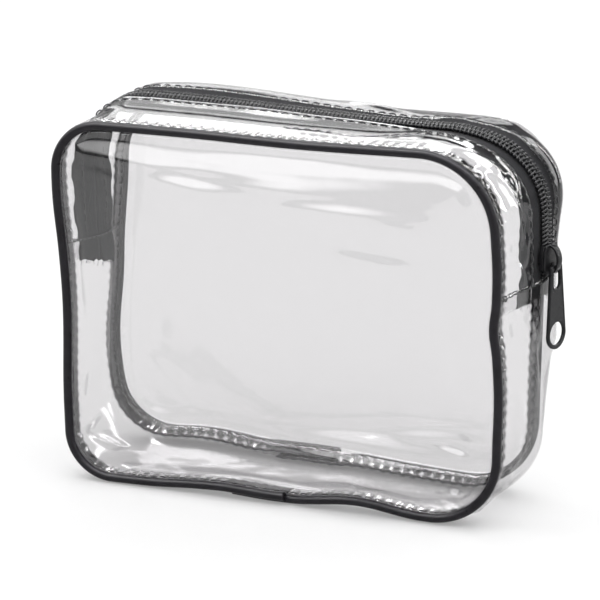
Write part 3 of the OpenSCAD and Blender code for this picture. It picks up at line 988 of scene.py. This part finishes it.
def zip_stitches(side, name, node):
    y = side * (STRIP_EDGE + 1.05)
    out = middle_out[chain_stations]
    upper = stitches(band_at(y, 0.05)[chain_stations], out)
    lower = stitches(band_at(y, TAPE_LIFT - TAPE_T / 2 - 0.05)[chain_stations], -out, offset=STITCH_PITCH / 2)
    piece(name, *joined(upper + lower), thread, "thread", [node])


def knot(centre, size):
    """A small tangle where a line of stitches was tied off, with two cut tails."""
    t = np.linspace(0, 2 * np.pi, 60)
    wind = np.stack([np.sin(t) + 2 * np.sin(2 * t), np.cos(t) - 2 * np.cos(2 * t), -np.sin(3 * t)], axis=1)
    parts = [tube(centre + wind * size / 3, THREAD_R * 0.8, 6)]
    for turn in (1, -1):
        s = np.linspace(0, 1, 8)[:, None]
        bend = s ** 2 * np.array([0, 0.5 * turn, -1.6]) * size
        tail = centre + s * np.array([0.6 * turn, 0.8, 1.6]) * size + bend
        parts.append(tube(tail, THREAD_R * 0.8, 6))
    return parts


def cross_stitches(station, name, node):
    """Stitches across one side, where the zip is sewn to the gusset."""
    ys = np.linspace(1.2 - WALL_Y, WALL_Y - 1.2, 60)
    line = np.array([band_at(y, 0.05)[station] for y in ys])
    under = np.array([band_at(y, TAPE_LIFT - TAPE_T / 2 - 0.8)[station] for y in ys])
    out = np.broadcast_to(middle_out[station], line.shape)
    parts = stitches(line, out, pitch=3.6) + stitches(under, -out, pitch=3.6, offset=1.8)
    parts += knot(line[0] + middle_out[station] * 0.4, 0.9) + knot(line[-1] + middle_out[station] * 0.4, 0.9)
    piece(name, *joined(parts), thread, "thread", [node])


seam_stitches(front_seam, "front_seam_stitches", "front_seam_thread")
seam_stitches(rear_seam, "rear_seam_stitches", "rear_seam_thread")
zip_stitches(-1, "front_zip_stitches", "zip_thread_front")
zip_stitches(1, "rear_zip_stitches", "zip_thread_rear")
cross_stitches(station_at(1, SEAM_Z - 0.4), "right_cross_stitches", "side_seam_thread_right")
cross_stitches(station_at(-1, SEAM_Z - 0.4), "left_cross_stitches", "side_seam_thread_left")


# ---- slider and pull tab ----
def take_mesh(name, obj, material, nodes, body):
    """Applies an object's modifiers or curve into a mesh piece."""
    bpy.context.view_layer.update()
    graph = bpy.context.evaluated_depsgraph_get()
    mesh = bpy.data.meshes.new_from_object(obj.evaluated_get(graph))
    bpy.data.objects.remove(obj)
    mesh.name = name
    mesh.materials.clear()
    mesh.materials.append(material)
    return placed(name, mesh, nodes, body)


def prism(bm, outline, low, high):
    """Adds a closed prism over (y, z) points from x = low to x = high."""
    bottom = [bm.verts.new((low * MM, y * MM, z * MM)) for y, z in outline]
    top = [bm.verts.new((high * MM, y * MM, z * MM)) for y, z in outline]
    bm.faces.new(bottom[::-1])
    bm.faces.new(top)
    for k in range(len(outline)):
        j = (k + 1) % len(outline)
        bm.faces.new([bottom[k], bottom[j], top[j], top[k]])


def slider_outline():
    """The slider's plate seen from outside, its nose down: round shoulders and a narrower tail."""
    length, half, nose_r = slider_high[2] - slider_low[2], SLIDER_W / 2, 3.4
    mid_z = (slider_high[2] + slider_low[2]) / 2
    nose = [(half - nose_r + nose_r * math.cos(a), nose_r - length / 2 - nose_r * math.sin(a))
            for a in np.radians(np.linspace(0, 90, 8))]
    side = [(half - 1.9, length / 2), (half - 1.2, length / 2 - 0.6), (half - 0.4, 2.6), (half, 0.5)] + nose
    outline = side + [(-y, z) for y, z in side[::-1]]
    return [(y, mid_z + z) for y, z in outline]


def bevelled(bm, name, width):
    bmesh.ops.recalc_face_normals(bm, faces=bm.faces)
    mesh = bpy.data.meshes.new(name)
    bm.to_mesh(mesh)
    bm.free()
    obj = linked(name, mesh)
    bevel = obj.modifiers.new("bevel", "BEVEL")
    bevel.width = width * MM
    bevel.segments = 3
    bevel.limit_method = "ANGLE"
    return obj


def turned_with_chain():
    """Turns a piece drawn facing +X to face the way the chain does at the slider."""
    centre = Vector((CHAIN_X * MM, 0, 0))
    return Matrix.Translation(centre) @ Matrix.Rotation(-TURN, 4, "Z") @ Matrix.Translation(-centre)


def slider_body():
    plate = 1.2
    top_out = CHAIN_X + PIVOT_OUT - 1.9
    top_in = top_out - plate
    back_in = CHAIN_X - SHEET_T - 0.1 - TAPE_T - 0.85
    outline = slider_outline()
    bm = bmesh.new()
    prism(bm, outline, top_in, top_out)
    prism(bm, outline, back_in - plate, back_in)
    # side flanges hang from the top plate and stop above the tape
    half = SLIDER_W / 2
    low_z, high_z = slider_low[2] + 2.2, slider_high[2] - 0.4
    mid_z = (low_z + high_z) / 2
    lip = 1.2
    for s in (-1, 1):
        rail = [(s * half, low_z), (s * half, mid_z + 1), (s * (half - 1.2), high_z),
                (s * (half - 1.2 - lip * 0.4), high_z), (s * (half - lip), mid_z), (s * (half - lip), low_z)]
        prism(bm, rail if s > 0 else rail[::-1], CHAIN_X + 0.3, top_in + 0.05)
    foot, head = slider_low[2] + 1, slider_low[2] + 5.5
    post = [(-0.3, foot), (0.3, foot), (0.3, head), (-0.3, head)]
    prism(bm, post, back_in - 0.3, top_in + 0.3)
    body = bevelled(bm, "slider_plates", 0.34)
    # the bridge is a flat strap bent over the pull tab's bar
    low, high = PIVOT[2] - 2.6, PIVOT[2] + 9.4
    rise = 1.9 + 0.9 + 0.4 + 1.1
    strap_half, thick = 1.6, 1.1
    t = np.linspace(0, 1, 25)
    z = low + (high - low) * t
    shape = np.clip(np.sin(np.pi * t), 0, 1) ** 0.38
    outer = top_out - 0.3 + (rise + 0.3) * shape
    line = np.stack([outer - thick / 2, np.zeros(len(t)), z], axis=1)
    tangent = unit(np.gradient(line, axis=0))
    across = np.broadcast_to(np.array([0.0, 1.0, 0.0]), line.shape)
    up = unit(np.cross(tangent, across))
    corner = 0.34
    section = []
    for sx, sy, start in ((1, 1, 0), (-1, 1, 90), (-1, -1, 180), (1, -1, 270)):
        for a in np.radians(np.linspace(start, start + 90, 4)):
            section.append((sx * (strap_half - corner) + corner * np.cos(a),
                            sy * (thick / 2 - corner) + corner * np.sin(a)))
    verts, faces = sweep(line, np.array(section), across, up)
    made = take_mesh("slider_casting", body, paint, ["slider_body"], "slider")
    merge_into(made, verts, faces)
    made.data.transform(turned_with_chain())


def merge_into(obj, verts, faces):
    """Adds more faces to a piece's mesh."""
    bm = bmesh.new()
    bm.from_mesh(obj.data)
    new = [bm.verts.new(v) for v in (verts * MM).tolist()]
    for face in faces:
        bm.faces.new([new[i] for i in face])
    bmesh.ops.recalc_face_normals(bm, faces=bm.faces)
    bm.to_mesh(obj.data)
    bm.free()
    smooth_by_angle(obj)


def smooth_by_angle(obj, degrees=38):
    mesh = obj.data
    mesh.polygons.foreach_set("use_smooth", np.ones(len(mesh.polygons), bool))
    mesh.set_sharp_from_angle(angle=math.radians(degrees))


def pull_tab():
    """A flat tab with a bar at its top, a window for the bridge, a hole in its end, and a raised rim."""
    end_r, top_r, hole_r = PULL_END_W / 2, PULL_TOP_W / 2, PULL_HOLE_R
    length = PIVOT[2] - pull_low[2]
    pivot = np.array([CHAIN_X + PIVOT_OUT, 0, PIVOT[2]])
    end_z = -(length - end_r)

    def arc(cy, cz, radius, start, stop, count):
        a = np.radians(np.linspace(start, stop, count))
        return [(cy + radius * math.cos(x), cz + radius * math.sin(x)) for x in a]

    lean = math.degrees(math.asin((end_r - top_r) / abs(end_z)))
    outline = arc(0, end_z, end_r, 180 + lean, 360 - lean, 40)
    outline += arc(top_r - 0.9, 0, 0.9, 0, 90, 7) + arc(0.9 - top_r, 0, 0.9, 90, 180, 7)
    hole = arc(0, end_z, hole_r, 0, 360 - 360 / 48, 48)
    window = arc(0, -7.2, 2.3, 180, 360, 16)
    window += arc(1.5, -1.7, 0.8, 0, 90, 6) + arc(-1.5, -1.7, 0.8, 90, 180, 6)

    def flat_curve(name, loops, half, bevel):
        curve = bpy.data.curves.new(name, "CURVE")
        curve.dimensions = "2D"
        curve.fill_mode = "BOTH"
        curve.extrude = half * MM - bevel * MM
        curve.bevel_depth = bevel * MM
        curve.bevel_resolution = 3
        for loop in loops:
            spline = curve.splines.new("POLY")
            spline.points.add(len(loop) - 1)
            for point, (y, z) in zip(spline.points, loop):
                point.co = (y * MM, z * MM, 0, 1)
            spline.use_cyclic_u = True
        return linked(name, curve)

    def inset(loop, by, centre):
        c = np.array(centre)
        pts = np.array(loop)
        ahead = np.roll(pts, -1, axis=0) - np.roll(pts, 1, axis=0)
        n = unit(np.stack([ahead[:, 1], -ahead[:, 0]], axis=1))
        flip = np.sign(((pts - c) * n).sum(axis=1).mean())
        return [tuple(p) for p in pts - n * flip * by]

    loops = [inset(outline, 0.25, (0, -12)), inset(hole, -0.25, (0, end_z)), inset(window, -0.25, (0, -4))]
    curve = flat_curve("tab_plate", loops, 0.6, 0.25)
    made = take_mesh("pull_tab_casting", curve, paint, ["pull_tab"], "pull")
    # the curve's plane (y, z, thickness) becomes the part's (thickness, y, z)
    turn = Matrix(((0, 0, 1, pivot[0] * MM), (1, 0, 0, 0), (0, 1, 0, pivot[2] * MM), (0, 0, 0, 1)))
    made.data.transform(turn)
    rim = []
    edges = ((outline, 0.75, (0, -12)), (hole, -0.75, (0, end_z)), (window, -0.62, (0, -4)))
    for loop, sink, centre in edges:
        path = np.array(inset(loop, sink, centre))
        pts = np.stack([np.zeros(len(path)), path[:, 0], path[:, 1]], axis=1)
        for face in (-1, 1):
            line = closed_run(pts + pivot + np.array([face * 0.52, 0, 0]))
            rim.append(tube(line, 0.3, 6, up=(1, 0.01, 0.02)))
    verts, faces = joined(rim)
    merge_into(made, verts, faces)
    made.data.transform(turned_with_chain())


slider_body()
pull_tab()


# ---- studio ----
FLOOR_GREY, FLOOR_GLOW = 0.66, 0.24               # the glow keeps the contact shadow pale
EVEN_LIGHT = 0.76                                 # the world's strength, except to glossy rays
ROOM_GLOSS = 0.07                                 # what the gloss sees between the soft boxes


def floor():
    size = 6.0
    mesh = bpy.data.meshes.new("floor")
    z = -0.0002
    corners = [(-size, -size, z), (size, -size, z), (size, size, z), (-size, size, z)]
    mesh.from_pydata(corners, [], [(0, 1, 2, 3)])
    mat, nodes, links = new_material("pale_floor")
    white = add(nodes, "ShaderNodeBsdfDiffuse", Color=(FLOOR_GREY, FLOOR_GREY, FLOOR_GREY, 1))
    lit = add(nodes, "ShaderNodeEmission", Color=(1, 1, 1, 1), Strength=FLOOR_GLOW)
    both = nodes.new("ShaderNodeAddShader")
    out = nodes.new("ShaderNodeOutputMaterial")
    links.new(white.outputs[0], both.inputs[0])
    links.new(lit.outputs[0], both.inputs[1])
    links.new(both.outputs[0], out.inputs["Surface"])
    mesh.materials.append(mat)
    linked("floor", mesh)


def studio():
    """Even light from all round, and soft boxes that only the gloss sees."""
    world = bpy.data.worlds.new("studio")
    bpy.context.scene.world = world
    world.use_nodes = True
    world.cycles.sampling_method = "NONE"
    nodes, links = world.node_tree.nodes, world.node_tree.links
    nodes.clear()
    coord = nodes.new("ShaderNodeTexCoord")

    def math_node(kind, a, b=None):
        node = add(nodes, "ShaderNodeMath", operation=kind)
        for socket, value in zip(node.inputs, (a, b)):
            if value is None:
                continue
            if isinstance(value, (int, float)):
                socket.default_value = value
            else:
                links.new(value, socket)
        return node.outputs[0]

    def dot(vector):
        node = add(nodes, "ShaderNodeVectorMath", operation="DOT_PRODUCT")
        node.inputs[1].default_value = vector
        links.new(coord.outputs["Generated"], node.inputs[0])
        return node.outputs["Value"]

    def soft_box(azimuth, elevation, half_width, half_height, strength, blur=0.08):
        """A soft box seen in that direction; azimuth 0 is the front and 90 the right."""
        a, e = math.radians(azimuth), math.radians(elevation)
        centre = Vector((math.sin(a) * math.cos(e), -math.cos(a) * math.cos(e), math.sin(e)))
        side = Vector((math.cos(a), math.sin(a), 0))
        up = centre.cross(side) if centre.cross(side).z > 0 else side.cross(centre)
        depth = math_node("MAXIMUM", dot(centre), 0.001)
        value = strength
        for vector, half in ((side, half_width), (up, half_height)):
            off = math_node("ABSOLUTE", math_node("DIVIDE", dot(vector), depth))
            edge = add(nodes, "ShaderNodeMapRange", interpolation_type="SMOOTHSTEP")
            edge.inputs["From Min"].default_value = half + blur
            edge.inputs["From Max"].default_value = half - blur
            links.new(off, edge.inputs["Value"])
            value = math_node("MULTIPLY", edge.outputs["Result"], value)
        return math_node("MULTIPLY", value, math_node("GREATER_THAN", dot(centre), 0.02))

    boxes = [
        soft_box(-22, 42, 0.95, 0.48, 3.2, 0.2),
        soft_box(212, 33, 0.45, 0.19, 5.0, 0.05),
        soft_box(203, 8, 1.0, 0.3, 0.46, 0.12),
        soft_box(187, 29, 0.07, 0.07, 22.0, 0.03),
        soft_box(118, 14, 0.05, 0.8, 16.0, 0.03),
        soft_box(142, 24, 0.05, 0.6, 12.0, 0.03),
        soft_box(-48, 58, 0.1, 0.5, 14.0, 0.04),
        soft_box(40, 62, 0.5, 0.07, 14.0, 0.04),
        soft_box(0, 88, 0.7, 0.5, 6.0),
        soft_box(70, 24, 0.14, 0.7, 6.0, 0.05),
        soft_box(-95, 30, 0.3, 0.6, 2.6),
    ]
    total = boxes[0]
    for box in boxes[1:]:
        total = math_node("ADD", total, box)
    total = math_node("ADD", total, ROOM_GLOSS)
    path = nodes.new("ShaderNodeLightPath")
    gloss = add(nodes, "ShaderNodeBackground")
    links.new(total, gloss.inputs["Strength"])
    even = add(nodes, "ShaderNodeBackground", Strength=EVEN_LIGHT)
    even.inputs["Color"].default_value = (1, 1, 1, 1)
    gloss.inputs["Color"].default_value = (1, 1, 1, 1)
    mix = nodes.new("ShaderNodeMixShader")
    out = nodes.new("ShaderNodeOutputWorld")
    links.new(path.outputs["Is Glossy Ray"], mix.inputs["Fac"])
    links.new(even.outputs[0], mix.inputs[1])
    links.new(gloss.outputs[0], mix.inputs[2])
    links.new(mix.outputs[0], out.inputs["Surface"])


def lamp(name, place, aim, size, power):
    data = bpy.data.lights.new(name, "AREA")
    data.shape = "RECTANGLE"
    data.size, data.size_y = size
    data.energy = power
    obj = bpy.data.objects.new(name, data)
    obj.location = place
    obj.rotation_euler = (Vector(aim) - Vector(place)).to_track_quat("-Z", "Y").to_euler()
    obj.visible_camera = False
    obj.visible_glossy = False
    bpy.context.collection.objects.link(obj)


def camera():
    """The viewing angle: turned to the right of the front, from above, with a slight roll."""
    azimuth, elevation, roll = math.radians(22.99), math.radians(18.03), math.radians(-1.45)
    distance, aim = 1.542, Vector((-0.00016, 0, 0.0837))
    level = math.cos(elevation)
    back = Vector((math.sin(azimuth) * level, -math.cos(azimuth) * level, math.sin(elevation)))
    right = (-back).cross(Vector((0, 0, 1))).normalized()
    up = right.cross(-back)
    right, up = right * math.cos(roll) + up * math.sin(roll), up * math.cos(roll) - right * math.sin(roll)
    place = aim + back * distance
    data = bpy.data.cameras.new("camera")
    data.lens, data.sensor_width = 213.5, 36
    data.clip_start, data.clip_end = 0.05, 50
    obj = bpy.data.objects.new("camera", data)
    obj.matrix_world = Matrix((
        (right.x, up.x, back.x, place.x), (right.y, up.y, back.y, place.y),
        (right.z, up.z, back.z, place.z), (0, 0, 0, 1),
    ))
    bpy.context.collection.objects.link(obj)
    bpy.context.scene.camera = obj


scene = bpy.context.scene
scene.view_settings.view_transform = "Standard"
scene.cycles.transparent_max_bounces = 48
scene.cycles.max_bounces = 12
floor()
studio()
lamp("top_box", (0.1, 0.3, 2.4), (0, 0, 0), (4.2, 3.6), 62)
camera()
